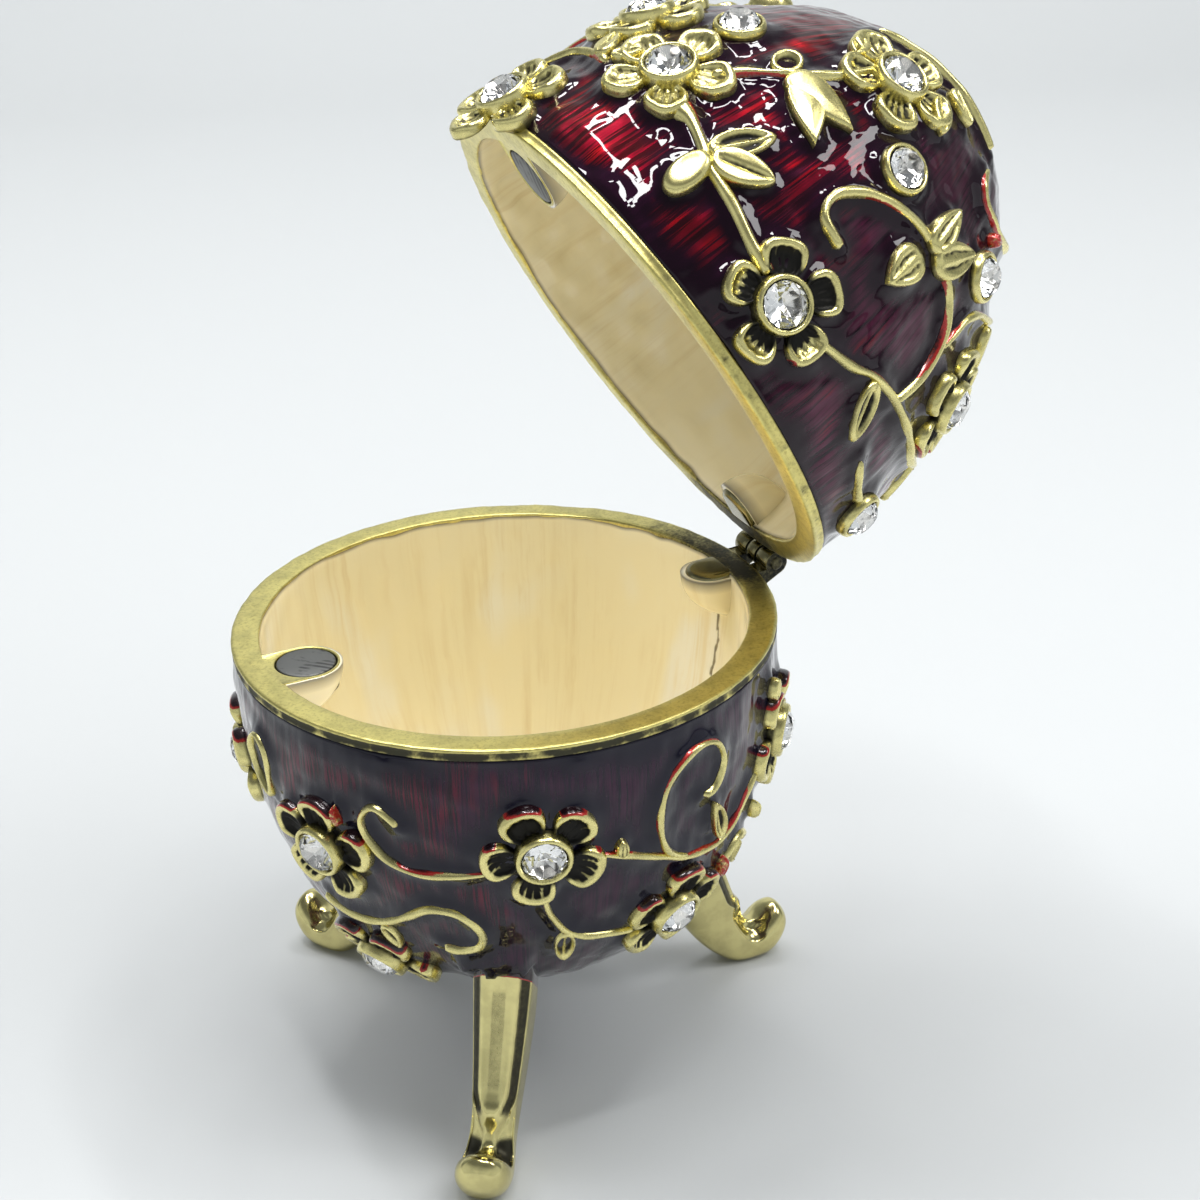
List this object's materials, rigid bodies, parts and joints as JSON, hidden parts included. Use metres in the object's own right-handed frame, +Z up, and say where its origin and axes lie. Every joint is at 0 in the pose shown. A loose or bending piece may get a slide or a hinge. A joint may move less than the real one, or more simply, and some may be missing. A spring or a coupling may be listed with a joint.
{
  "type": "egg trinket box",
  "caption": "Hinged egg-shaped trinket box on cabriole legs, standing open, with enamelled walls, raised flowers, set stones and a magnetic catch.",
  "frame": {"origin": "middle of the open box's extent, on the floor", "axes": "+Z up; the hinge is on the +X side with its pin along Y, and the lid tips over towards +X"},
  "size_m": [0.0662, 0.0466, 0.0891],
  "materials": {
    "enamelled_casting": "glossy dark red enamel outside, cream pearl enamel inside, bare antique brass on the rims and relief",
    "antique_brass": "polished antique brass with dark recesses",
    "pin_metal": "dull dark brass",
    "magnet_steel": "scratched grey plating",
    "crystal": "clear, faceted, foil-backed"
  },
  "bodies": {
    "base": {"bowl": "enamelled_casting", "leg_front": "antique_brass", "leg_hinge": "antique_brass", "leg_back": "antique_brass", "hinge_pin": "pin_metal", "magnet_bowl": "magnet_steel", "stone_bowl_front": "crystal", "stone_bowl_right": "crystal", "stone_bowl_right_low": "crystal", "stone_bowl_left": "crystal", "stone_bowl_left_low": "crystal", "stone_bowl_back": "crystal", "stone_bowl_back_right": "crystal", "stone_bowl_back_left": "crystal"},
    "lid": {"lid": "enamelled_casting", "magnet_lid": "magnet_steel", "stone_lid_side": "crystal", "stone_lid_upper": "crystal", "stone_lid_crown": "crystal", "stone_lid_hinge_side": "crystal", "stone_lid_thumb": "crystal", "stone_lid_back": "crystal", "stone_lid_back_upper": "crystal", "stone_lid_back_crown": "crystal", "stone_lid_single_crown": "crystal", "stone_lid_single_upper": "crystal", "stone_lid_single_hinge": "crystal", "stone_lid_single_rim": "crystal"}
  },
  "joints": [
    {"name": "lid_hinge", "type": "hinge", "parent": "base", "child": "lid", "pos_m": [0.01353, 0, 0.04088], "axis": [0, 1, 0], "range_deg": [-61, 0]}
  ]
}
